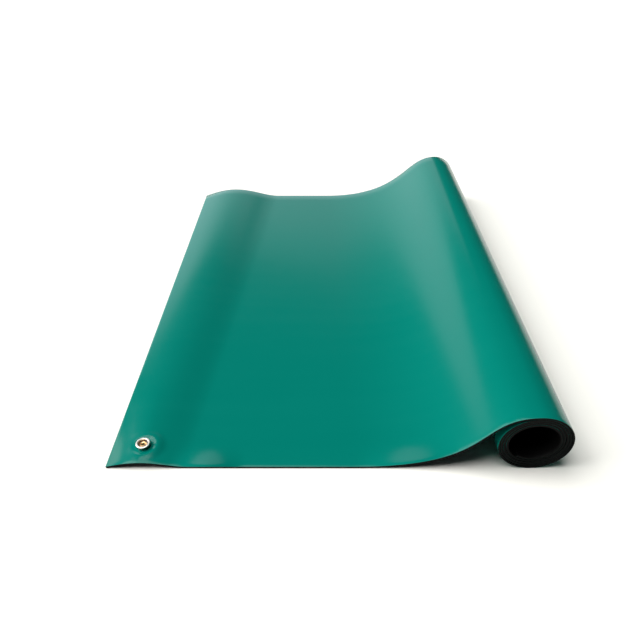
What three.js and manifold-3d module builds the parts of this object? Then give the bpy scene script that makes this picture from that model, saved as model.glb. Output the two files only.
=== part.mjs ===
// Static-dissipative bench mat: two bonded layers of rubber, green over black, laid out at its left
// end and rolled up at its right end, with a metal snap riveted through its near left corner.
// Millimetres, +Z up. X runs from the free edge to the roll, Y from the near end to the far end.
// The origin is the middle of the footprint, on the surface that the mat lies on.
import * as THREE from 'three';
import { ParametricGeometry } from 'three/addons/geometries/ParametricGeometry.js';
import { mergeGeometries, mergeVertices } from 'three/addons/utils/BufferGeometryUtils.js';
import Module from 'manifold-3d';

const wasm = await Module();
wasm.setup();

// The sheet as it is cut
const matLength = 1200;
const matWidth = 600;
const greenThickness = 0.5;
const blackThickness = 1.5;

// The roll, over its outermost turn
const axisFromEdge = 390.5;
const rollWidth = 67.5;
const rollHeight = 65;
const turnGap = 0.5;

// The free edge rests on the surface, and the sheet behind it springs up in a low wave
const nearWaveSpan = 75;
const farWaveSpan = 125;
const nearWaveHeight = 5.2;
const farWaveHeight = 11.7;

// The sheet climbs onto the roll over this run, measured back from the roll's axis
const nearClimbRun = 162.5;
const farClimbRun = 182.5;
// How long the climb stays low and how long it stays high, as shares of its run
const nearLowEase = 0.83;
const farLowEase = 0.74;
const nearHighEase = 0.375;
const farHighEase = 0.285;
// How far the outermost turn stands off the roll's top at the far end, where it was wound loosely
const farTopLift = 7;

// The snap, a nickel-plated ring cup held by a brass rivet
const snapFromEdge = 31;
const snapFromNearEnd = 21.2;
const cupDiameter = 13.6;
const cupHeight = 3.2;
const cupWell = 9.2;
const cupFloor = 0.6;
const rimRounding = 0.8;
const shankDiameter = 4;
const headDiameter = 6.6;
const headHeight = 0.9;
const washerDiameter = 10.5;
const washerThickness = 0.9;
const seatGap = 0.3;

// Fineness of the facets
const waveSteps = 14;
const flatSteps = 2;
const climbSteps = 18;
const rollStepAngle = THREE.MathUtils.degToRad(10);
const widthSteps = 2;
const roundSegments = 32;
const arcDivisions = 2;

const sheetThickness = greenThickness + blackThickness;
const turnPitch = sheetThickness + turnGap;
const fullTurn = 2 * Math.PI;
const topHalfWidth = (rollWidth + turnPitch) / 2;
const topHalfHeight = (rollHeight + turnPitch / 2) / 2;
const axisHeight = topHalfHeight - turnPitch / 2;
const footprintLength = axisFromEdge + topHalfWidth - turnPitch / 4;

// A value that changes evenly from the near end to the far end of the mat
function along(nearValue, farValue, y) {
  return THREE.MathUtils.lerp(nearValue, farValue, (y + matWidth / 2) / matWidth);
}

// The wave is the shape of a strip propped at its free edge and clamped flat at its other end
function wavePoint(share, y) {
  const peakOfCurve = 0.26;
  const bend = (share - 3 * share ** 3 + 2 * share ** 4) / peakOfCurve;
  const height = along(nearWaveHeight, farWaveHeight, y) * bend;
  return new THREE.Vector2(along(nearWaveSpan, farWaveSpan, y) * share, sheetThickness + height);
}

function climbCurve(y) {
  const run = along(nearClimbRun, farClimbRun, y);
  const start = axisFromEdge - run;
  const top = axisHeight + topHalfHeight + along(0, farTopLift, y);
  return new THREE.CubicBezierCurve(
    new THREE.Vector2(start, sheetThickness),
    new THREE.Vector2(start + run * along(nearLowEase, farLowEase, y), sheetThickness),
    new THREE.Vector2(axisFromEdge - run * along(nearHighEase, farHighEase, y), top),
    new THREE.Vector2(axisFromEdge, top),
  );
}

// The roll is a flattened spiral that closes in by one pitch a turn. Its angle starts at the top
// and turns towards +X and down.
function rollPoint(angle, y) {
  const closing = turnPitch * angle / fullTurn;
  const lift = angle < Math.PI / 2 ? along(0, farTopLift, y) : 0;
  return new THREE.Vector2(
    axisFromEdge + (topHalfWidth - closing) * Math.sin(angle),
    axisHeight + (topHalfHeight - closing + lift) * Math.cos(angle),
  );
}

// The length of the sheet's middle, from its free edge to the top of the roll, at mid width
function lengthBeforeRoll() {
  const samples = 200;
  const climb = climbCurve(0);
  const wavePoints = [];
  for (let i = 0; i <= samples; i++) wavePoints.push(wavePoint(i / samples, 0));
  const wave = new THREE.Path(wavePoints);
  const flat = climb.v0.x - along(nearWaveSpan, farWaveSpan, 0);
  return wave.getLength() + flat + climb.getLength();
}

// The angle that the rest of the sheet winds through
function windingAngle() {
  const smallAngle = THREE.MathUtils.degToRad(1);
  let angle = 0;
  let left = matLength - lengthBeforeRoll();
  while (left > 0) {
    const closing = turnPitch * angle / fullTurn + sheetThickness / 2;
    const step = smallAngle * Math.hypot(
      (topHalfWidth - closing) * Math.cos(angle),
      (topHalfHeight - closing) * Math.sin(angle),
    );
    angle += smallAngle * Math.min(1, left / step);
    left -= step;
  }
  return angle;
}

const rollAngle = windingAngle();
const rollSteps = Math.ceil(rollAngle / rollStepAngle);
const pathSteps = waveSteps + flatSteps + climbSteps + rollSteps;

// The green face, at a share of the way from the free edge to the inner end
function greenFace(share, y) {
  const climb = climbCurve(y);
  let step = share * pathSteps;
  if (step < waveSteps) return wavePoint(step / waveSteps, y);
  step -= waveSteps;
  if (step < flatSteps) {
    const waveEnd = along(nearWaveSpan, farWaveSpan, y);
    return new THREE.Vector2(
      THREE.MathUtils.lerp(waveEnd, climb.v0.x, step / flatSteps),
      sheetThickness,
    );
  }
  step -= flatSteps;
  if (step < climbSteps) return climb.getPoint(step / climbSteps);
  step -= climbSteps;
  return rollPoint(rollAngle * step / rollSteps, y);
}

// A point inside the sheet, this far below its green face
function sheetPoint(share, y, below, target) {
  const nudge = 1e-4;
  const face = greenFace(share, y);
  const ahead = greenFace(Math.min(share + nudge, 1), y);
  const behind = greenFace(Math.max(share - nudge, 0), y);
  const tangent = ahead.sub(behind).normalize();
  target.set(
    face.x + tangent.y * below - footprintLength / 2,
    y,
    face.y - tangent.x * below,
  );
}

// One layer of the sheet, as a closed surface of six patches. Both layers use the same facets, so
// that their bonded faces meet exactly.
function makeLayer(upper, lower) {
  const across = (v) => (v - 0.5) * matWidth;
  const between = (u) => THREE.MathUtils.lerp(upper, lower, u);
  const nearEnd = -matWidth / 2;
  const farEnd = matWidth / 2;
  const patches = [
    new ParametricGeometry((u, v, p) => sheetPoint(u, across(v), upper, p), pathSteps, widthSteps),
    new ParametricGeometry((u, v, p) => sheetPoint(v, across(u), lower, p), widthSteps, pathSteps),
    new ParametricGeometry((u, v, p) => sheetPoint(v, nearEnd, between(u), p), 1, pathSteps),
    new ParametricGeometry((u, v, p) => sheetPoint(u, farEnd, between(v), p), pathSteps, 1),
    new ParametricGeometry((u, v, p) => sheetPoint(0, across(u), between(v), p), widthSteps, 1),
    new ParametricGeometry((u, v, p) => sheetPoint(1, across(v), between(u), p), 1, widthSteps),
  ];
  return toSolid(mergeGeometries(patches));
}

function toSolid(geometry) {
  geometry.deleteAttribute('normal');
  geometry.deleteAttribute('uv');
  const merged = mergeVertices(geometry);
  return new wasm.Manifold(new wasm.Mesh({
    numProp: 3,
    vertProperties: merged.attributes.position.array,
    triVerts: new Uint32Array(merged.index.array),
  }));
}

function toGeometry(solid) {
  const mesh = solid.getMesh();
  const geometry = new THREE.BufferGeometry();
  geometry.setAttribute('position', new THREE.BufferAttribute(mesh.vertProperties, 3));
  geometry.setIndex(new THREE.BufferAttribute(mesh.triVerts, 1));
  geometry.computeVertexNormals();
  return geometry;
}

// The snap's place, and how high the sheet's green face lies around it
const snapX = snapFromEdge - footprintLength / 2;
const snapY = snapFromNearEnd - matWidth / 2;

function greenHeight(x, y) {
  return wavePoint((x + footprintLength / 2) / along(nearWaveSpan, farWaveSpan, y), y).y;
}

function heightsAround(radius) {
  const heights = [greenHeight(snapX, snapY)];
  for (let i = 0; i < roundSegments; i++) {
    const angle = fullTurn * i / roundSegments;
    heights.push(greenHeight(snapX + radius * Math.cos(angle), snapY + radius * Math.sin(angle)));
  }
  return heights;
}

const cupBase = Math.max(...heightsAround(cupDiameter / 2)) + seatGap;
const washerTop = Math.min(...heightsAround(washerDiameter / 2)) - sheetThickness - seatGap;

// The hole for the rivet's shank, punched through both layers
function makeShankHole() {
  const reach = 2 * (cupBase - washerTop);
  const radius = shankDiameter / 2 + seatGap;
  const hole = new THREE.CylinderGeometry(radius, radius, reach, roundSegments);
  hole.rotateX(Math.PI / 2);
  hole.translate(snapX, snapY, (cupBase + washerTop) / 2);
  return toSolid(hole);
}

// A turned piece from its half section, standing on the XY plane
function turned(profile) {
  const geometry = new THREE.LatheGeometry(profile.getPoints(arcDivisions), roundSegments);
  geometry.rotateX(Math.PI / 2);
  return geometry;
}

function makeCup() {
  const outer = cupDiameter / 2;
  const well = cupWell / 2;
  const hole = shankDiameter / 2 + seatGap;
  const shoulder = cupHeight - rimRounding;
  const profile = new THREE.Path();
  profile.moveTo(hole, 0);
  profile.lineTo(outer - rimRounding, 0);
  profile.absarc(outer - rimRounding, rimRounding, rimRounding, -Math.PI / 2, 0);
  profile.absarc(outer - rimRounding, shoulder, rimRounding, 0, Math.PI / 2);
  profile.absarc(well + rimRounding, shoulder, rimRounding, Math.PI / 2, Math.PI);
  profile.lineTo(well, cupFloor);
  profile.lineTo(hole, cupFloor);
  profile.lineTo(hole, 0);
  return turned(profile);
}

// The rivet stands with its washer's underside at height 0
function makeRivet() {
  const head = headDiameter / 2;
  const washer = washerDiameter / 2;
  const shank = shankDiameter / 2;
  const headBase = cupBase + cupFloor + seatGap - (washerTop - washerThickness);
  const profile = new THREE.Path();
  profile.moveTo(0, 0);
  profile.lineTo(washer - washerThickness / 2, 0);
  profile.absarc(
    washer - washerThickness / 2, washerThickness / 2, washerThickness / 2, -Math.PI / 2, Math.PI / 2,
  );
  profile.lineTo(shank, washerThickness);
  profile.lineTo(shank, headBase);
  profile.lineTo(head, headBase);
  profile.quadraticCurveTo(head, headBase + headHeight, 0, headBase + headHeight);
  return turned(profile);
}

function addPiece(name, geometry, material) {
  const mesh = new THREE.Mesh(geometry, material);
  mesh.name = name;
  mat.add(mesh);
  return mesh;
}

const mat = new THREE.Group();
const shankHole = makeShankHole();
const greenLayer = makeLayer(0, greenThickness).subtract(shankHole);
const blackLayer = makeLayer(greenThickness, sheetThickness).subtract(shankHole);

addPiece(
  'dissipative_top_layer',
  toGeometry(greenLayer),
  new THREE.MeshStandardMaterial({ color: 0x02846f, roughness: 0.55, metalness: 0 }),
);
addPiece(
  'conductive_back_layer',
  toGeometry(blackLayer),
  new THREE.MeshStandardMaterial({ color: 0x17181a, roughness: 0.7, metalness: 0 }),
);
addPiece(
  'snap_cup',
  makeCup(),
  new THREE.MeshStandardMaterial({ color: 0xc9c6be, roughness: 0.25, metalness: 1 }),
).position.set(snapX, snapY, cupBase);
addPiece(
  'snap_rivet',
  makeRivet(),
  new THREE.MeshStandardMaterial({ color: 0xb59a63, roughness: 0.35, metalness: 1 }),
).position.set(snapX, snapY, washerTop - washerThickness);

export default mat;
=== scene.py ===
"""A static-dissipative bench mat, laid out at one end and rolled up at the other, with its ground snap.

Everything is in metres. X runs from the mat's free edge to its roll, Y from the near end to the
far end and Z up, with the bench at height 0.
"""
from dataclasses import dataclass, field
from enum import Enum
import logging
import math

import bmesh
import bpy
from mathutils import Matrix, Vector
import numpy as np


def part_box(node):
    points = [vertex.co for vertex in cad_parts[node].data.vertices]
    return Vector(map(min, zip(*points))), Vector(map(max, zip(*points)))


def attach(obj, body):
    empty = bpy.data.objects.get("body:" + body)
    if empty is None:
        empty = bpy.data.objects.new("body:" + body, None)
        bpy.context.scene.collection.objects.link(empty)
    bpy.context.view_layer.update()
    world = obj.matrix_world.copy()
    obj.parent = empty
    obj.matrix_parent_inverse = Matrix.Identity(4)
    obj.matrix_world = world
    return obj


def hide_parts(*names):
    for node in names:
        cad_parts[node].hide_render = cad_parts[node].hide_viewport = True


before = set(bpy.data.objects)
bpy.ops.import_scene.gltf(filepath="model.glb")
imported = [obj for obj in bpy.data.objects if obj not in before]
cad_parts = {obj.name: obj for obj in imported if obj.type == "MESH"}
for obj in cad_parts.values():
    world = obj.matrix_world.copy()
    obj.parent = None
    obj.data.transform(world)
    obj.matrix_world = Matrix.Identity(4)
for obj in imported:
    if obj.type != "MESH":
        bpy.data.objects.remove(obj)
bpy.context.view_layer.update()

MM = 0.001
UP = Vector((0.0, 0.0, 1.0))
FLAT_MAP = "flat_sheet"
SAME_PLACE = 1e-6
LOG = logging.getLogger("bench_mat")


@dataclass(frozen=True)
class Shade:
    """A number that changes over a surface, written in plain arithmetic.

    Args:
        board: The node board that the number belongs to.
        socket: The output socket that gives it.
    """

    board: "NodeBoard"
    socket: bpy.types.NodeSocket

    def _math(self, operation: str, *terms: "Shade | float") -> "Shade":
        """Adds one Math node.

        Args:
            operation: The node's operation.
            terms: Its inputs in order.

        Returns:
            The node's result.
        """
        settings = {"operation": operation}
        node = self.board.node("ShaderNodeMath", settings, dict(enumerate(terms)))
        return Shade(self.board, node.outputs[0])

    def __add__(self, other: "Shade | float") -> "Shade":
        """The sum."""
        return self._math("ADD", self, other)

    def __radd__(self, other: float) -> "Shade":
        """The sum, from the right."""
        return self._math("ADD", other, self)

    def __sub__(self, other: "Shade | float") -> "Shade":
        """The difference."""
        return self._math("SUBTRACT", self, other)

    def __rsub__(self, other: float) -> "Shade":
        """The difference, from the right."""
        return self._math("SUBTRACT", other, self)

    def __mul__(self, other: "Shade | float") -> "Shade":
        """The product."""
        return self._math("MULTIPLY", self, other)

    def __rmul__(self, other: float) -> "Shade":
        """The product, from the right."""
        return self._math("MULTIPLY", other, self)

    def __abs__(self) -> "Shade":
        """The size without its sign."""
        return self._math("ABSOLUTE", self)

    def lower_of(self, other: "Shade | float") -> "Shade":
        """The lower of two values.

        Args:
            other: The other value.

        Returns:
            The lower one.
        """
        return self._math("MINIMUM", self, other)

    def rise(self, low: float, high: float) -> "Shade":
        """A soft step from 0 at one value to 1 at another.

        Args:
            low: Where the step starts.
            high: Where it ends.

        Returns:
            The step, between 0 and 1.
        """
        settings = {"interpolation_type": "SMOOTHSTEP"}
        values = {"Value": self, "From Min": low, "From Max": high}
        node = self.board.node("ShaderNodeMapRange", settings, values)
        return Shade(self.board, node.outputs["Result"])


class NodeBoard:
    """The nodes of a material or of the room, added by one method and joined by name."""

    def __init__(self, owner: bpy.types.ID) -> None:
        """Starts with no nodes.

        Args:
            owner: The new material or world.
        """
        self.owner = owner
        owner.use_nodes = True
        self.tree = owner.node_tree
        self.tree.nodes.clear()

    @classmethod
    def for_material(cls, name: str) -> "NodeBoard":
        """Starts a board with a new material.

        Args:
            name: The material's name.

        Returns:
            The board.
        """
        return cls(bpy.data.materials.new(name))

    def node(self, kind: str, settings: dict, values: dict) -> bpy.types.Node:
        """Adds a node.

        Args:
            kind: The node's type.
            settings: Its own settings, which are set first.
            values: A value, a Shade or a socket for each input, by name or number.

        Returns:
            The node.
        """
        made = self.tree.nodes.new(kind)
        for key, value in settings.items():
            setattr(made, key, value)
        for key, value in values.items():
            source = value.socket if isinstance(value, Shade) else value
            if isinstance(source, bpy.types.NodeSocket):
                self.tree.links.new(source, made.inputs[key])
            else:
                made.inputs[key].default_value = source
        return made

    def place_on(self, flat: bool) -> bpy.types.NodeSocket:
        """Where a point is.

        Args:
            flat: True for its place on the unrolled sheet, False for its place in space.

        Returns:
            The coordinates in metres.
        """
        if flat:
            return self.node("ShaderNodeUVMap", {"uv_map": FLAT_MAP}, {}).outputs["UV"]
        return self.node("ShaderNodeTexCoord", {}, {}).outputs["Object"]

    def stretched(self, place: bpy.types.NodeSocket, scale: tuple) -> bpy.types.NodeSocket:
        """Coordinates scaled along each axis.

        Args:
            place: The coordinates.
            scale: Their scale along X, Y and Z.

        Returns:
            The scaled coordinates.
        """
        values = {"Vector": place, "Scale": scale}
        return self.node("ShaderNodeMapping", {}, values).outputs["Vector"]

    def cloud(self, place: bpy.types.NodeSocket, scale: float, detail: float = 2.0) -> Shade:
        """Soft noise between 0 and 1.

        Args:
            place: The coordinates that it follows.
            scale: How many of its clouds fit in a metre.
            detail: How many finer layers it has.

        Returns:
            The noise.
        """
        values = {"Vector": place, "Scale": scale, "Detail": detail}
        made = self.node("ShaderNodeTexNoise", {}, values)
        return Shade(self, made.outputs[0])

    def blend(self, share: "Shade | float", first: object, second: object) -> bpy.types.NodeSocket:
        """A colour between two colours.

        Args:
            share: 0 for the first and 1 for the second.
            first: A colour or a socket.
            second: A colour or a socket.

        Returns:
            The mixed colour.
        """
        factor, colour_a, colour_b, result = 0, 6, 7, 2
        values = {factor: share, colour_a: first, colour_b: second}
        return self.node("ShaderNodeMix", {"data_type": "RGBA"}, values).outputs[result]

    def relief(
        self, height: Shade, depth: float, under: bpy.types.NodeSocket | None = None
    ) -> bpy.types.NodeSocket:
        """A fine relief as a bump.

        Args:
            height: Its height, between 0 and 1.
            depth: Its full depth in metres.
            under: The normal of a coarser relief that it lies on.

        Returns:
            The bumped normal.
        """
        values = {"Height": height, "Distance": depth, "Strength": 1.0}
        if under is not None:
            values["Normal"] = under
        return self.node("ShaderNodeBump", {}, values).outputs["Normal"]

    def finish(self, values: dict) -> bpy.types.Material:
        """Ends the material with its surface.

        Args:
            values: The surface shader's inputs by name.

        Returns:
            The material.
        """
        surface = self.node("ShaderNodeBsdfPrincipled", {}, values)
        self.node("ShaderNodeOutputMaterial", {}, {"Surface": surface.outputs[0]})
        return self.owner


def grey(value: float) -> tuple:
    """A neutral colour.

    Args:
        value: Its brightness.

    Returns:
        The colour.
    """
    return (value, value, value, 1.0)


@dataclass(frozen=True)
class RubberFinish:
    """Calendered rubber, with a fine matt grain that follows the sheet.

    Args:
        name: The material's name.
        colour: Its colour.
        cloudy: The colour of the faint patches in it.
        edge_highlight: The colour of the painted highlight along its cut edges.
        roughness: How matt it is.
        gloss: The strength of its reflection.
        grain: How many grains fit in a metre.
        grain_depth: The depth of the grain in metres.
        edge_highlight_width: How far the painted edge highlight reaches from the cut edge, in metres.
        curl: How strongly the near edge and the free corner curl, as a height in metres.
        curl_reach: How far that reaches in from the edge.
        curls: Where the near edge curls, along the sheet, and how far to each side.
        corner_share: How much more the free corner curls.
        patches: How many soft patches fit in a metre.
        streaks: The scale of the streaks along and across the sheet.
        mottle: How many specks fit in a metre.
    """

    name: str
    colour: tuple
    cloudy: tuple
    edge_highlight: tuple
    roughness: float
    gloss: float
    grain: float = 1500.0
    grain_depth: float = 0.00002
    edge_highlight_width: float = 0.0012
    curl: float = 0.0115
    curl_reach: float = 0.032
    curls: tuple = ((0.094, 0.035), (0.283, 0.05))
    corner_share: float = 1.75
    patches: float = 6.0
    streaks: tuple = (3.0, 60.0, 1.0)
    mottle: float = 220.0

    def material(self, length: float, width: float) -> bpy.types.Material:
        """Makes the material.

        Args:
            length: The flat sheet's length.
            width: The flat sheet's width.

        Returns:
            The material.
        """
        board = NodeBoard.for_material(self.name)
        place = board.place_on(flat=True)
        patches = board.cloud(place, self.patches, 3.0)
        streaks = board.cloud(board.stretched(place, self.streaks), 1.0, 3.0)
        grain = board.cloud(place, self.grain, 2.0)
        mottle = board.cloud(place, self.mottle, 3.0)
        axes = board.node("ShaderNodeSeparateXYZ", {}, {0: place})
        along = Shade(board, axes.outputs[0])
        across = Shade(board, axes.outputs[1])
        to_end = along.lower_of(length - along)
        to_side = width / 2 - abs(across)
        # A lighter band along every cut edge: a painted highlight of the rounded edge, not wear.
        edge_highlight_share = 1.0 - to_end.lower_of(to_side).rise(0.0, self.edge_highlight_width)
        from_near_end = across + width / 2
        near_edge = 1.0 - from_near_end.rise(-self.curl_reach, self.curl_reach)
        free_edge = along.rise(-self.curl_reach, self.curl_reach) - 1.0
        at_corner = 1.0 - from_near_end.rise(0.0, 4 * self.curl_reach)
        bend = free_edge * at_corner * self.corner_share
        for place_along, reach in self.curls:
            bend = bend + near_edge * (1.0 - abs(along - place_along).rise(0.0, reach))
        tint = (patches * 0.6 + streaks * 0.4).rise(0.3, 0.7)
        body = board.blend(tint * 0.5, self.colour, self.cloudy)
        speckled = board.blend(mottle.rise(0.62, 0.78) * 0.12, body, self.cloudy)
        curled = board.relief(bend, self.curl)
        return board.finish(
            {
                # The painted edge highlight lightens the colour along the cut edges.
                "Base Color": board.blend(edge_highlight_share * 0.6, speckled, self.edge_highlight),
                "Roughness": self.roughness + (tint - 0.5) * 0.05 + (grain - 0.5) * 0.08,
                "Specular IOR Level": self.gloss,
                "Normal": board.relief(grain * 0.7 + mottle * 0.3, self.grain_depth, curled),
            }
        )


@dataclass(frozen=True)
class CutFinish:
    """The knife-cut edge of the rubber, with fine strokes of the blade.

    Args:
        name: The material's name.
        colour: Its colour.
        stroke: The colour of the strokes.
        roughness: How matt it is.
        gloss: The strength of its reflection.
        stroke_scale: The scale of the strokes along X, Y and Z.
        pit_scale: How many pits fit in a metre.
        depth: The depth of the strokes and pits in metres.
    """

    name: str
    colour: tuple
    stroke: tuple
    roughness: float
    gloss: float
    stroke_scale: tuple = (900.0, 120.0, 2600.0)
    pit_scale: float = 1800.0
    depth: float = 0.00004

    def material(self) -> bpy.types.Material:
        """Makes the material.

        Returns:
            The material.
        """
        board = NodeBoard.for_material(self.name)
        place = board.place_on(flat=False)
        strokes = board.cloud(board.stretched(place, self.stroke_scale), 1.0, 3.0)
        pits = board.cloud(place, self.pit_scale, 2.0)
        return board.finish(
            {
                "Base Color": board.blend(strokes.rise(0.4, 0.75), self.colour, self.stroke),
                "Roughness": self.roughness + (pits - 0.5) * 0.15,
                "Specular IOR Level": self.gloss,
                "Normal": board.relief(strokes * 0.7 + pits * 0.3, self.depth),
            }
        )


@dataclass(frozen=True)
class PlatedFinish:
    """Turned and plated metal, bright where it is clean and dull where soft stains of tarnish lie.

    Args:
        name: The material's name.
        bright: The colour of the clean metal.
        dull: The colour of the tarnish.
        roughness: The roughness of the clean metal.
        tarnish: How much of the surface the tarnish takes, between 0 and 1.
        stain_scale: How many stains fit in a metre.
        scratch_scale: The scale of the scratches along X, Y and Z.
        depth: The depth of the scratches in metres.
    """

    name: str
    bright: tuple
    dull: tuple
    roughness: float
    tarnish: float
    stain_scale: float = 420.0
    scratch_scale: tuple = (5200.0, 1400.0, 5200.0)
    depth: float = 0.00001

    def material(self) -> bpy.types.Material:
        """Makes the material.

        Returns:
            The material.
        """
        board = NodeBoard.for_material(self.name)
        place = board.place_on(flat=False)
        stains = board.cloud(place, self.stain_scale, 4.0)
        scratches = board.cloud(board.stretched(place, self.scratch_scale), 1.0, 2.0)
        dulled = stains.rise(0.75 - self.tarnish * 0.6, 0.95 - self.tarnish * 0.5)
        return board.finish(
            {
                "Base Color": board.blend(dulled, self.bright, self.dull),
                "Metallic": 1.0,
                "Roughness": self.roughness + dulled * 0.2 + (scratches - 0.5) * 0.12,
                "Normal": board.relief(scratches, self.depth),
            }
        )


GREEN_FACE = RubberFinish(
    name="green_rubber_face",
    colour=(0.0, 0.155, 0.119, 1.0),
    cloudy=(0.0, 0.163, 0.126, 1.0),
    # A lighter green for the painted highlight along the cut edges.
    edge_highlight=(0.01, 0.21, 0.165, 1.0),
    roughness=0.18,
    gloss=0.15,
)
# The green layer's cut faces are painted near-black, much darker than the green rubber itself: painted
# shade on the roll's end and the near cut edge.
GREEN_CUT_PAINTED_SHADE = CutFinish(
    name="green_rubber_cut_painted_shade",
    colour=(0.0, 0.006, 0.0045, 1.0),
    stroke=(0.0, 0.012, 0.009, 1.0),
    roughness=0.6,
    gloss=0.08,
)
BLACK_FACE = RubberFinish(
    name="black_rubber_face",
    colour=grey(0.0015),
    cloudy=grey(0.0025),
    # A lighter grey for the painted highlight along the cut edges.
    edge_highlight=grey(0.006),
    roughness=0.55,
    gloss=0.1,
)
BLACK_CUT = CutFinish(
    name="black_rubber_cut",
    colour=grey(0.001),
    stroke=grey(0.003),
    roughness=0.6,
    gloss=0.05,
)
NICKEL = PlatedFinish(
    name="nickel_plate",
    bright=(0.92, 0.87, 0.79, 1.0),
    dull=(0.6, 0.52, 0.42, 1.0),
    roughness=0.36,
    tarnish=0.12,
)
BRASS = PlatedFinish(
    name="dull_brass",
    bright=(0.78, 0.5, 0.24, 1.0),
    dull=(0.22, 0.1, 0.05, 1.0),
    roughness=0.34,
    tarnish=0.4,
)


class Body(Enum):
    """The rigid bodies of the mat, which is all one."""

    MAT = "root"


class Slot(Enum):
    """The material slots of the record."""

    GREEN = "green_rubber"
    BLACK = "black_rubber"
    NICKEL = "nickel"
    BRASS = "brass"


def make_piece(
    name: str,
    mesh: bmesh.types.BMesh,
    materials: list,
    nodes: tuple,
) -> bpy.types.Object:
    """Turns a finished bmesh into a piece of the object.

    Args:
        name: The piece's name.
        mesh: Its mesh, which is freed.
        materials: Its materials in the order of the faces' numbers.
        nodes: The CAD nodes that it stands for.

    Returns:
        The piece, riding on the mat.
    """
    data = bpy.data.meshes.new(name)
    mesh.to_mesh(data)
    mesh.free()
    for material in materials:
        data.materials.append(material)
    piece = bpy.data.objects.new(name, data)
    bpy.context.scene.collection.objects.link(piece)
    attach(piece, Body.MAT.value)
    if nodes:
        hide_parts(*nodes)
    LOG.info("%s: %d vertices, %d faces", name, len(data.vertices), len(data.polygons))
    return piece


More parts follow.
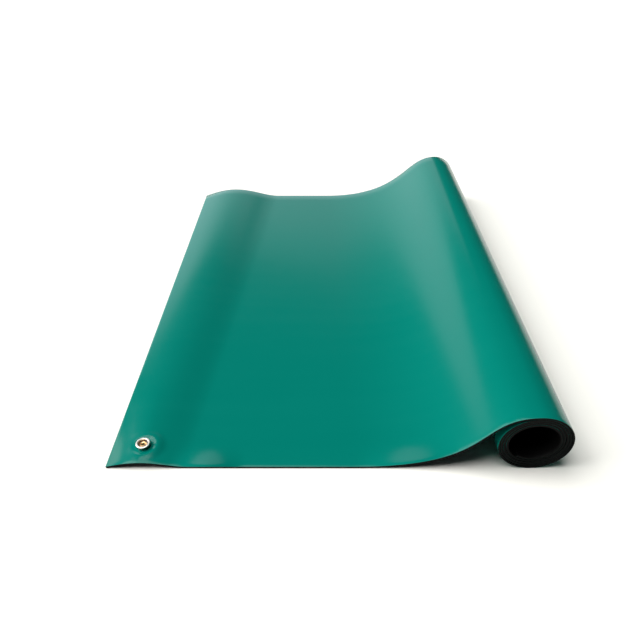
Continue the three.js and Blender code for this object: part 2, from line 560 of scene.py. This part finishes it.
@dataclass
class SheetPath:
    """The way the sheet runs: a low wave, a flat stretch, a climb and the turns of the roll.

    Args:
        left: Where the free edge lies along X.
        width: The sheet's width, along Y.
        length: The sheet's length along its middle.
        thickness: The whole sheet's thickness.
        axis_from_edge: The roll's axis, measured from the free edge.
        roll_width: The roll's width over its outermost turn.
        roll_height: The roll's height over its outermost turn.
        turn_gap: The air between two turns.
        wave_span: The wave's length at the near and the far end.
        wave_height: The wave's height at the near and the far end.
        climb_run: How far before the roll's axis the climb starts, near and far.
        low_ease: The share of the run where the climb stays low, near and far.
        high_ease: The share of the run where it stays high, near and far.
        top_lift: How far the outermost turn stands off the roll's top, near and far.
    """

    left: float
    width: float
    length: float = 1.2
    thickness: float = 0.002
    axis_from_edge: float = 0.3905
    roll_width: float = 0.0675
    roll_height: float = 0.065
    turn_gap: float = 0.0005
    wave_span: tuple = (0.075, 0.125)
    wave_height: tuple = (0.0052, 0.0117)
    climb_run: tuple = (0.1625, 0.1825)
    low_ease: tuple = (0.83, 0.74)
    high_ease: tuple = (0.375, 0.285)
    top_lift: tuple = (0.0, 0.007)
    stations: np.ndarray = field(init=False, repr=False)
    distances: list = field(init=False, repr=False)

    # The stations of the path: the wave, the flat and the climb take one each, and each radian of
    # the roll takes one more.
    WAVE_END = 1.0
    FLAT_END = 2.0
    ROLL_START = 3.0
    PEAK_OF_BEND = 0.26
    STATION_COUNT = 20001

    def __post_init__(self) -> None:
        """Measures the path along the middle of the sheet, at the near and at the far end."""
        most_turns = self.length / (math.pi * self.roll_width / 2)
        last = self.ROLL_START + most_turns * math.tau
        self.stations = np.linspace(0.0, last, self.STATION_COUNT)
        self.distances = []
        for end in (-self.width / 2, self.width / 2):
            middle = np.full_like(self.stations, self.thickness / 2)
            x, z = self.at_station(self.stations, np.full_like(middle, end), middle)
            steps = np.hypot(np.diff(x), np.diff(z))
            self.distances.append(np.concatenate([[0.0], np.cumsum(steps)]))

    def ends(self, pair: tuple, y: np.ndarray) -> np.ndarray:
        """A value that changes evenly from the near end to the far end.

        Args:
            pair: Its near and its far value.
            y: Places across the sheet.

        Returns:
            The value at each place.
        """
        share = y / self.width + 0.5
        return pair[0] + (pair[1] - pair[0]) * share

    def green_face(self, station: np.ndarray, y: np.ndarray) -> tuple:
        """The path of the green face.

        Args:
            station: Stations along the path.
            y: Places across the sheet.

        Returns:
            The X and Z of each point.
        """
        pitch = self.thickness + self.turn_gap
        half_width = (self.roll_width + pitch) / 2
        half_height = (self.roll_height + pitch / 2) / 2
        axis_height = half_height - pitch / 2
        span = self.ends(self.wave_span, y)
        run = self.ends(self.climb_run, y)
        climb_start = self.axis_from_edge - run
        lift = self.ends(self.top_lift, y)
        top = axis_height + half_height + lift

        share = np.clip(station, 0.0, 1.0)
        bend = (share - 3 * share**3 + 2 * share**4) / self.PEAK_OF_BEND
        x = span * share
        z = self.thickness + self.ends(self.wave_height, y) * bend

        share = np.clip(station - self.WAVE_END, 0.0, 1.0)
        on_flat = station > self.WAVE_END
        x = np.where(on_flat, span + (climb_start - span) * share, x)
        z = np.where(on_flat, self.thickness, z)

        share = np.clip(station - self.FLAT_END, 0.0, 1.0)
        low_x = climb_start + run * self.ends(self.low_ease, y)
        high_x = self.axis_from_edge - run * self.ends(self.high_ease, y)
        early = (1 - share) ** 3
        low = 3 * (1 - share) ** 2 * share
        high = 3 * (1 - share) * share**2
        late = share**3
        climb_x = early * climb_start + low * low_x + high * high_x + late * self.axis_from_edge
        climb_z = (early + low) * self.thickness + (high + late) * top
        on_climb = station > self.FLAT_END
        x = np.where(on_climb, climb_x, x)
        z = np.where(on_climb, climb_z, z)

        angle = np.maximum(station - self.ROLL_START, 0.0)
        closing = pitch * angle / math.tau
        lifted = np.where(angle < math.pi / 2, lift, 0.0)
        on_roll = station > self.ROLL_START
        x = np.where(on_roll, self.axis_from_edge + (half_width - closing) * np.sin(angle), x)
        roll_z = axis_height + (half_height - closing + lifted) * np.cos(angle)
        return x + self.left, np.where(on_roll, roll_z, z)

    def at_station(self, station: np.ndarray, y: np.ndarray, below: np.ndarray) -> tuple:
        """Points inside the sheet.

        Args:
            station: Stations along the path.
            y: Places across the sheet.
            below: Depths below the green face.

        Returns:
            The X and Z of each point.
        """
        nudge = 1e-4
        x, z = self.green_face(station, y)
        x_ahead, z_ahead = self.green_face(station + nudge, y)
        x_behind, z_behind = self.green_face(np.maximum(station - nudge, 0.0), y)
        run = x_ahead - x_behind
        climb = z_ahead - z_behind
        size = np.hypot(run, climb)
        return x + below * climb / size, z - below * run / size

    def along_at(self, x: float, y: float) -> float:
        """How far along the sheet a place before the roll is, measured from the free edge.

        Args:
            x: The place's X.
            y: The place's Y.

        Returns:
            The distance on the flat sheet.
        """
        before_roll = self.stations[self.stations < self.ROLL_START]
        reached, _ = self.green_face(before_roll, np.full_like(before_roll, y))
        station = np.interp(x, reached, before_roll)
        near, far = (np.interp(station, self.stations, run) for run in self.distances)
        return float(self.ends((near, far), y))

    def wind(self, flat: np.ndarray) -> np.ndarray:
        """Winds points of the flat sheet onto the path.

        Args:
            flat: Rows of distance from the free edge, place across, and height above the green
                face.

        Returns:
            Rows of X, Y and Z.
        """
        near, far = (np.interp(flat[:, 0], run, self.stations) for run in self.distances)
        station = self.ends((near, far), flat[:, 1])
        x, z = self.at_station(station, flat[:, 1], -flat[:, 2])
        return np.column_stack([x, flat[:, 1], z])


@dataclass
class Dimple:
    """The dent that the clamped snap presses into the rubber, with the ridge that it squeezes up.

    Args:
        along: Its place along the flat sheet.
        across: Its place across the sheet.
        floor_radius: How far its flat floor reaches.
        rim_radius: Where the ridge is highest.
        fade_radius: Where the rubber is level again.
        depth: How deep the floor lies.
        swell: How high the ridge stands where it is highest.
        lean: The direction in which it is highest, in degrees from the sheet's run.
    """

    along: float
    across: float
    floor_radius: float = 0.0078
    rim_radius: float = 0.0124
    fade_radius: float = 0.0215
    depth: float = 0.0006
    swell: float = 0.0015
    lean: float = 0.0

    def heights(self, flat: np.ndarray) -> np.ndarray:
        """How far each point of the flat sheet is moved up.

        Args:
            flat: Rows of distance along the sheet, place across and height.

        Returns:
            The move of each point.
        """
        ahead = flat[:, 0] - self.along
        beside = flat[:, 1] - self.across
        radius = np.hypot(ahead, beside)
        wall = np.clip(
            (radius - self.floor_radius) / (self.rim_radius - self.floor_radius), 0.0, 1.0
        )
        fade = np.clip(
            (radius - self.rim_radius) / (self.fade_radius - self.rim_radius), 0.0, 1.0
        )
        rising = wall * wall * (3 - 2 * wall)
        fading = fade * fade * (3 - 2 * fade)
        turned = np.arctan2(beside, ahead) - math.radians(self.lean)
        swell = self.swell * (0.5 + 0.5 * np.cos(turned))
        return -self.depth + (self.depth + swell) * rising - swell * fading


@dataclass
class Unevenness:
    """How the turns' ends stand out of line, as they do in every roll that is wound by hand.

    Args:
        drift: How far the innermost turn's near end stands back from the outermost turn's.
        wobble: The share of the drift that comes and goes from turn to turn.
        wobble_rate: How fast it comes and goes, in radians over the whole roll.
        roll_from: Where the roll starts, along the sheet.
        roll_length: How much of the sheet is rolled up.
    """

    drift: float = 0.0018
    wobble: float = 0.1
    wobble_rate: float = 19.0
    roll_from: float = 0.41
    roll_length: float = 0.79

    def shift_across(self, flat: np.ndarray) -> np.ndarray:
        """How far each point moves along the roll.

        Args:
            flat: Rows of distance along the sheet, place across and height.

        Returns:
            The move of each point.
        """
        share = np.clip((flat[:, 0] - self.roll_from) / self.roll_length, 0.0, 1.0)
        wobble = self.wobble * share * np.sin(share * self.wobble_rate)
        return self.drift * (share + wobble)


class RubberSheet:
    """The mat's sheet: two bonded layers of rubber on one path."""

    LENGTH_STEPS = 480
    WIDTH_STEPS = 30
    FINE_LINES = 20
    FINE_STEP = 0.00085
    HOLE_BLOCK = 4
    HOLE_SLACK = 1e-5
    CORNER = 0.00012
    CREASE_ANGLE = 0.6
    GREEN_DEPTH = 0.5 * MM

    def __init__(self, path: SheetPath, dimple: Dimple, hole_radius: float) -> None:
        """Keeps the sheet's shape.

        Args:
            path: The way the sheet runs.
            dimple: The dent round the snap.
            hole_radius: The radius of the hole for the rivet.
        """
        self.path = path
        self.dimple = dimple
        self.uneven = Unevenness()
        self.hole_radius = hole_radius

    def flat_stock(self) -> bmesh.types.BMesh:
        """The sheet as it is cut, flat and without thickness, with finer cells round the snap."""
        mesh = bmesh.new()
        bmesh.ops.create_grid(
            mesh, x_segments=self.LENGTH_STEPS, y_segments=self.WIDTH_STEPS, size=0.5
        )
        size = (self.path.length, self.path.width, 1.0)
        bmesh.ops.scale(mesh, vec=size, verts=mesh.verts[:])
        bmesh.ops.translate(mesh, vec=(self.path.length / 2, 0.0, 0.0), verts=mesh.verts[:])
        forward = Vector((1.0, 0.0, 0.0))
        sideways = Vector((0.0, 1.0, 0.0))
        centre = Vector((self.dimple.along, self.dimple.across, 0.0))
        for axis in (forward, sideways):
            for line in range(-self.FINE_LINES, self.FINE_LINES + 1):
                bmesh.ops.bisect_plane(
                    mesh,
                    geom=mesh.verts[:] + mesh.edges[:] + mesh.faces[:],
                    dist=SAME_PLACE,
                    plane_co=centre + axis * line * self.FINE_STEP,
                    plane_no=axis,
                )
        return mesh

    def punch(self, mesh: bmesh.types.BMesh) -> None:
        """Punches the round hole for the rivet.

        Args:
            mesh: The flat stock.
        """
        reach = self.HOLE_BLOCK * self.FINE_STEP
        centre = Vector((self.dimple.along, self.dimple.across, 0.0))

        def within(point: Vector, slack: float) -> bool:
            """Whether a point lies in the block of cells that the hole replaces."""
            away = point - centre
            return max(abs(away.x), abs(away.y)) < reach + slack

        block = [f for f in mesh.faces if within(f.calc_center_median(), 0.0)]
        bmesh.ops.delete(mesh, geom=block, context="FACES")
        rim = [
            e
            for e in mesh.edges
            if e.is_boundary and all(within(v.co, self.HOLE_SLACK) for v in e.verts)
        ]
        ring = bmesh.ops.create_circle(
            mesh,
            cap_ends=False,
            radius=self.hole_radius,
            segments=len(rim),
            matrix=Matrix.Translation(centre),
        )
        ring_verts = set(ring["verts"])
        ring_edges = [e for e in mesh.edges if set(e.verts) <= ring_verts]
        bmesh.ops.bridge_loops(mesh, edges=rim + ring_edges)

    def layer(self, top: float, bottom: float) -> bmesh.types.BMesh:
        """One layer, still flat, with its corners broken.

        Args:
            top: The depth of its upper face below the green face.
            bottom: The depth of its lower face.

        Returns:
            The layer, with the cut faces numbered 1 and the others 0.
        """
        mesh = self.flat_stock()
        self.punch(mesh)
        bmesh.ops.translate(mesh, vec=(0.0, 0.0, -top), verts=mesh.verts[:])
        made = bmesh.ops.extrude_face_region(mesh, geom=mesh.faces[:])
        lower = [v for v in made["geom"] if isinstance(v, bmesh.types.BMVert)]
        bmesh.ops.translate(mesh, vec=(0.0, 0.0, top - bottom), verts=lower)
        bmesh.ops.recalc_face_normals(mesh, faces=mesh.faces[:])
        for face in mesh.faces:
            face.smooth = True
            face.material_index = int(abs(face.normal.z) < 0.5)
        open_height = 0.0 if top == 0.0 else -bottom
        corners = [
            e
            for e in mesh.edges
            if e.calc_face_angle(0.0) > self.CREASE_ANGLE
            and all(abs(v.co.z - open_height) < SAME_PLACE for v in e.verts)
        ]
        bmesh.ops.bevel(
            mesh,
            geom=corners,
            offset=self.CORNER,
            offset_type="OFFSET",
            affect="EDGES",
            segments=2,
            profile=0.5,
            material=-1,
        )
        for edge in mesh.edges:
            edge.smooth = edge.calc_face_angle(0.0) < self.CREASE_ANGLE
        return mesh

    def wind(self, mesh: bmesh.types.BMesh) -> None:
        """Keeps each point's flat place as its texture place, and winds the layer.

        Args:
            mesh: The flat layer.
        """
        flat_map = mesh.loops.layers.uv.new(FLAT_MAP)
        for face in mesh.faces:
            for loop in face.loops:
                loop[flat_map].uv = loop.vert.co.xy
        flat = np.array([v.co for v in mesh.verts])
        flat[:, 2] += self.dimple.heights(flat)
        wound = self.path.wind(flat)
        wound[:, 1] += self.uneven.shift_across(flat)
        for vert, place in zip(mesh.verts, wound):
            vert.co = place

    def build(self) -> list:
        """Builds and dresses both layers.

        Returns:
            The two pieces.
        """
        size = (self.path.length, self.path.width)
        green = self.layer(0.0, self.GREEN_DEPTH)
        self.wind(green)
        black = self.layer(self.GREEN_DEPTH, self.path.thickness)
        self.wind(black)
        return [
            make_piece(
                "green_working_face",
                green,
                [GREEN_FACE.material(*size), GREEN_CUT_PAINTED_SHADE.material()],
                ("dissipative_top_layer",),
            ),
            make_piece(
                "black_backing",
                black,
                [BLACK_FACE.material(*size), BLACK_CUT.material()],
                ("conductive_back_layer",),
            ),
        ]


@dataclass
class GroundSnap:
    """The press-stud cup and the rivet that holds it, in the mat's corner.

    Args:
        centre: The snap's axis on the plane of the bench.
        base: The height of the cup's underside.
        top: The height of the cup's rim.
        outer: The cup's outer radius.
        rivet_bottom: The height of the washer's underside.
        washer: The washer's radius.
        well: The radius of the cup's well.
        hole: The radius of the cup's hole.
        shank: The radius of the rivet's shank.
        head: The radius of the rivet's flared head.
        floor: The thickness of the cup's floor.
        seat: How far the cup's skirt sinks into the rubber.
        lip_rounding: The radius of the rounding round the cup's flat rim.
        undercut: How far the wall stands back under the rim.
        tuck: The size of the small roundings and steps.
        steps: How many steps a full turn takes.
        washer_thickness: The washer's thickness.
        bore: The radius of the rivet's bore.
        neck: How far the shank stands above the cup's floor.
        petals: How many petals the rivet's head splits into.
        petal_gap: The gap between two petals, in degrees.
        petal_thickness: Their thickness.
    """

    centre: Vector
    base: float
    top: float
    outer: float
    rivet_bottom: float
    washer: float
    well: float = 0.0046
    hole: float = 0.0023
    shank: float = 0.002
    head: float = 0.0033
    floor: float = 0.0006
    seat: float = 0.0008
    lip_rounding: float = 0.0007
    undercut: float = 0.0012
    tuck: float = 0.0004
    steps: int = 72
    washer_thickness: float = 0.0009
    bore: float = 0.0013
    neck: float = 0.0003
    petals: int = 6
    petal_gap: float = 9.0
    petal_thickness: float = 0.00028

    ARC_STEPS = 8
    PETAL_STEPS = 6
    CREASE_ANGLE = 0.7

    def turn(self, mesh: bmesh.types.BMesh, points: list, closed: bool) -> None:
        """Turns a half section round the snap's axis.

        Args:
            mesh: The mesh that it is added to.
            points: The section, as radius and height.
            closed: Whether its last point joins its first.
        """
        verts = [mesh.verts.new((self.centre.x + r, self.centre.y, z)) for r, z in points]
        pairs = list(zip(verts, verts[1:]))
        if closed:
            pairs.append((verts[-1], verts[0]))
        edges = [mesh.edges.new(pair) for pair in pairs]
        bmesh.ops.spin(
            mesh,
            geom=verts + edges,
            cent=self.centre,
            axis=UP,
            angle=math.tau,
            steps=self.steps,
            use_merge=True,
        )
        bmesh.ops.remove_doubles(mesh, verts=mesh.verts[:], dist=1e-7)
        bmesh.ops.recalc_face_normals(mesh, faces=mesh.faces[:])
        for face in mesh.faces:
            face.smooth = True

    @staticmethod
    def arc(radius: float, height: float, size: float, start: float, end: float) -> list:
        """Points of a round corner in a half section.

        Args:
            radius: Its centre's distance from the axis.
            height: Its centre's height.
            size: Its own radius.
            start: Its first angle in degrees, 0 outwards and 90 up.
            end: Its last angle.

        Returns:
            The points, as radius and height.
        """
        angles = np.radians(np.linspace(start, end, GroundSnap.ARC_STEPS + 1))
        return [(radius + size * math.cos(a), height + size * math.sin(a)) for a in angles]

    def build_cup(self) -> bpy.types.Object:
        """Builds the ring cup: a rolled rim, a waisted wall and a well with a stepped floor.

        Returns:
            The piece.
        """
        lip = self.lip_rounding
        crown = self.top - lip
        waist = self.outer - self.undercut
        tuck = self.tuck
        foot = self.base - self.seat
        lip_foot = self.top - 2 * lip
        inner_floor = self.base + self.floor
        points = [(self.hole, self.base), (waist - 2 * tuck, self.base)]
        points += [(waist - 2 * tuck, foot), (waist, foot)]
        points += [(waist, lip_foot - tuck)]
        points += self.arc(self.outer - lip, crown, lip, -90, 90)
        points += self.arc(self.well + lip, crown, lip, 90, 180)
        points += self.arc(self.well + tuck, inner_floor + tuck, tuck, 180, 270)
        points += [(self.hole + tuck, inner_floor), (self.hole, inner_floor - tuck / 4)]
        mesh = bmesh.new()
        self.turn(mesh, points, closed=True)
        return make_piece(
            "snap_ring_cup", mesh, [NICKEL.material()], ("snap_cup",)
        )

    def build_rivet(self) -> bpy.types.Object:
        """Builds the rivet: a washer under the mat, a hollow shank and a head split into petals.

        Returns:
            The piece.
        """
        mesh = bmesh.new()
        bottom = self.rivet_bottom
        washer_top = bottom + self.washer_thickness
        edge = self.washer_thickness / 2
        bore = self.bore
        neck = self.base + self.floor + self.neck
        points = [(bore, bottom)]
        points += self.arc(self.washer - edge, bottom + edge, edge, -90, 90)
        points += [(self.shank, washer_top), (self.shank, neck), (bore, neck)]
        self.turn(mesh, points, closed=True)
        body = set(mesh.faces)
        flare = [
            (bore, neck),
            (bore + 0.25 * MM, neck + 0.65 * MM),
            (self.head - 0.7 * MM, neck + 0.9 * MM),
            (self.head, neck + 0.35 * MM),
        ]
        sector = math.tau / self.petals
        gap = math.radians(self.petal_gap)
        verts = [mesh.verts.new((self.centre.x + r, self.centre.y, z)) for r, z in flare]
        edges = [mesh.edges.new(pair) for pair in zip(verts, verts[1:])]
        bmesh.ops.rotate(
            mesh, cent=self.centre, matrix=Matrix.Rotation(gap / 2, 3, "Z"), verts=verts
        )
        bmesh.ops.spin(
            mesh,
            geom=verts + edges,
            cent=self.centre,
            axis=UP,
            angle=sector - gap,
            steps=self.PETAL_STEPS,
        )
        petal = [f for f in mesh.faces if f not in body]
        bmesh.ops.recalc_face_normals(mesh, faces=petal)
        bmesh.ops.solidify(mesh, geom=petal, thickness=self.petal_thickness)
        petal = [f for f in mesh.faces if f not in body]
        shape = list({v for f in petal for v in f.verts})
        shape += list({e for f in petal for e in f.edges})
        bmesh.ops.spin(
            mesh,
            geom=shape + petal,
            cent=self.centre,
            axis=UP,
            angle=sector * (self.petals - 1),
            steps=self.petals - 1,
            use_duplicate=True,
        )
        for face in mesh.faces:
            face.smooth = True
        for each in mesh.edges:
            each.smooth = each.calc_face_angle(0.0) < self.CREASE_ANGLE
        return make_piece(
            "snap_split_rivet", mesh, [BRASS.material()], ("snap_rivet",)
        )

    def build(self) -> list:
        """Builds and dresses the snap.

        Returns:
            Its pieces.
        """
        return [self.build_cup(), self.build_rivet()]


@dataclass
class Studio:
    """The floor, the lights and the camera.

    Args:
        eye: Where the camera stands.
        pitch: How far it looks down, in degrees.
        focal_pixels: Its focal length in pixels of the picture.
        picture_pixels: The picture's side in pixels.
        sensor: The width of its sensor in millimetres.
        room: The brightness of the room.
        panel: The brightness of the pale panel behind the mat.
        panel_edges: The angles of its left, right and top edge and of its turn, in degrees.
        panel_fade: How soft its edges are.
        panel_fall: How much its brightness falls off towards the right.
        panel_tint: Its colour.
        key: The strength of the key light.
        key_toward: The direction from the mat to the key light.
        fill: The strength of the fill light.
        fill_toward: The direction from the mat to the fill light.
        spread: The angle that each light takes up, seen from the mat, in degrees.
        floor_size: Half the floor's side.
        floor_drop: How far the floor lies under the mat.
    """

    eye: Vector
    pitch: float = 36.0
    focal_pixels: float = 588.4
    picture_pixels: int = 640
    sensor: float = 36.0
    room: float = 0.03
    panel: float = 1.15
    panel_edges: tuple = (-50.0, 8.0, 31.0, 20.0)
    panel_fade: float = 0.02
    panel_fall: float = 0.9
    panel_tint: tuple = (0.9, 0.97, 1.06, 1.0)
    key: float = 2.9
    key_toward: tuple = (-0.82, 0.1, 0.56)
    fill: float = 2.6
    fill_toward: tuple = (-0.3, 0.05, 1.0)
    spread: float = 50.0
    floor_size: float = 12.0
    floor_drop: float = 0.0001

    def place_camera(self) -> None:
        """Puts the camera where the photograph was taken from."""
        data = bpy.data.cameras.new("photo_camera")
        data.sensor_width = self.sensor
        data.lens = self.focal_pixels / self.picture_pixels * self.sensor
        data.clip_start = 0.01
        data.clip_end = 50.0
        camera = bpy.data.objects.new("photo_camera", data)
        camera.location = self.eye
        camera.rotation_euler = (math.radians(90.0 - self.pitch), 0.0, 0.0)
        bpy.context.scene.collection.objects.link(camera)
        bpy.context.scene.camera = camera

    def lay_floor(self) -> None:
        """Lays the plain pale floor."""
        mesh = bmesh.new()
        bmesh.ops.create_grid(mesh, x_segments=2, y_segments=2, size=self.floor_size)
        bmesh.ops.translate(mesh, vec=(0.0, 0.0, -self.floor_drop), verts=mesh.verts[:])
        data = bpy.data.meshes.new("pale_floor")
        mesh.to_mesh(data)
        mesh.free()
        board = NodeBoard.for_material("pale_floor")
        data.materials.append(
            board.finish(
                {"Base Color": (0.93, 0.92, 0.86, 1.0), "Roughness": 0.9, "Specular IOR Level": 0.1}
            )
        )
        floor = bpy.data.objects.new("pale_floor", data)
        bpy.context.scene.collection.objects.link(floor)

    def hang_light(self, name: str, toward: tuple, strength: float) -> None:
        """Hangs one large soft light, far enough away to light the whole floor evenly.

        Args:
            name: Its name.
            toward: The direction from the mat to the light.
            strength: What it gives to a surface that faces it.
        """
        data = bpy.data.lights.new(name, "SUN")
        data.angle = math.radians(self.spread)
        data.energy = strength
        light = bpy.data.objects.new(name, data)
        light.rotation_euler = Vector(toward).to_track_quat("Z", "Y").to_euler()
        bpy.context.scene.collection.objects.link(light)

    def light(self) -> None:
        """Lights the scene: a pale panel low at the back, a soft key at the left and one above."""
        world = bpy.data.worlds.new("dim_room")
        board = NodeBoard(world)
        direction = board.node("ShaderNodeTexCoord", {}, {}).outputs["Generated"]
        parts = board.node("ShaderNodeSeparateXYZ", {}, {0: direction}).outputs
        across, ahead, above = (Shade(board, part) for part in parts)
        left, right, top, turned = (math.tan(math.radians(a)) for a in self.panel_edges)
        edges = (
            across - left * ahead,
            right * ahead - across,
            top * (ahead + turned * across) - above,
        )
        panel = 1.0
        for edge in edges:
            panel = edge.rise(0.0, self.panel_fade) * panel
        sheen = self.panel * (1.0 - self.panel_fall * across)
        light = self.room + (sheen - self.room) * panel
        tint = {"Color": self.panel_tint, "Strength": light}
        background = board.node("ShaderNodeBackground", {}, tint)
        board.node("ShaderNodeOutputWorld", {}, {"Surface": background.outputs[0]})
        bpy.context.scene.world = world
        self.hang_light("left_key", self.key_toward, self.key)
        self.hang_light("top_fill", self.fill_toward, self.fill)

    def build(self) -> None:
        """Sets up the whole studio."""
        self.place_camera()
        self.lay_floor()
        self.light()
        view = bpy.context.scene.view_settings
        view.view_transform = "Standard"
        view.look = "None"


def main() -> None:
    """Builds the mat, its snap and the studio."""
    logging.basicConfig(level=logging.INFO, format="%(message)s")
    sheet_low, sheet_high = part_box("dissipative_top_layer")
    cup_low, cup_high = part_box("snap_cup")
    rivet_low, rivet_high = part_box("snap_rivet")
    snap_axis = Vector(((cup_low[0] + cup_high[0]) / 2, (cup_low[1] + cup_high[1]) / 2, 0.0))

    photo_axis_from_edge = 0.198
    eye_before_near_end = 0.3594
    eye_height = 0.4304
    eye = Vector(
        (sheet_low[0] + photo_axis_from_edge, sheet_low[1] - eye_before_near_end, eye_height)
    )
    Studio(eye).build()

    path = SheetPath(left=sheet_low[0], width=sheet_high[1] - sheet_low[1])
    snap = GroundSnap(
        centre=snap_axis,
        base=cup_low[2],
        top=cup_high[2],
        outer=(cup_high[0] - cup_low[0]) / 2,
        rivet_bottom=rivet_low[2],
        washer=(rivet_high[0] - rivet_low[0]) / 2,
    )
    dimple = Dimple(along=path.along_at(snap_axis.x, snap_axis.y), across=snap_axis.y)
    RubberSheet(path, dimple, snap.hole).build()
    snap.build()


if __name__ == "__main__":
    main()
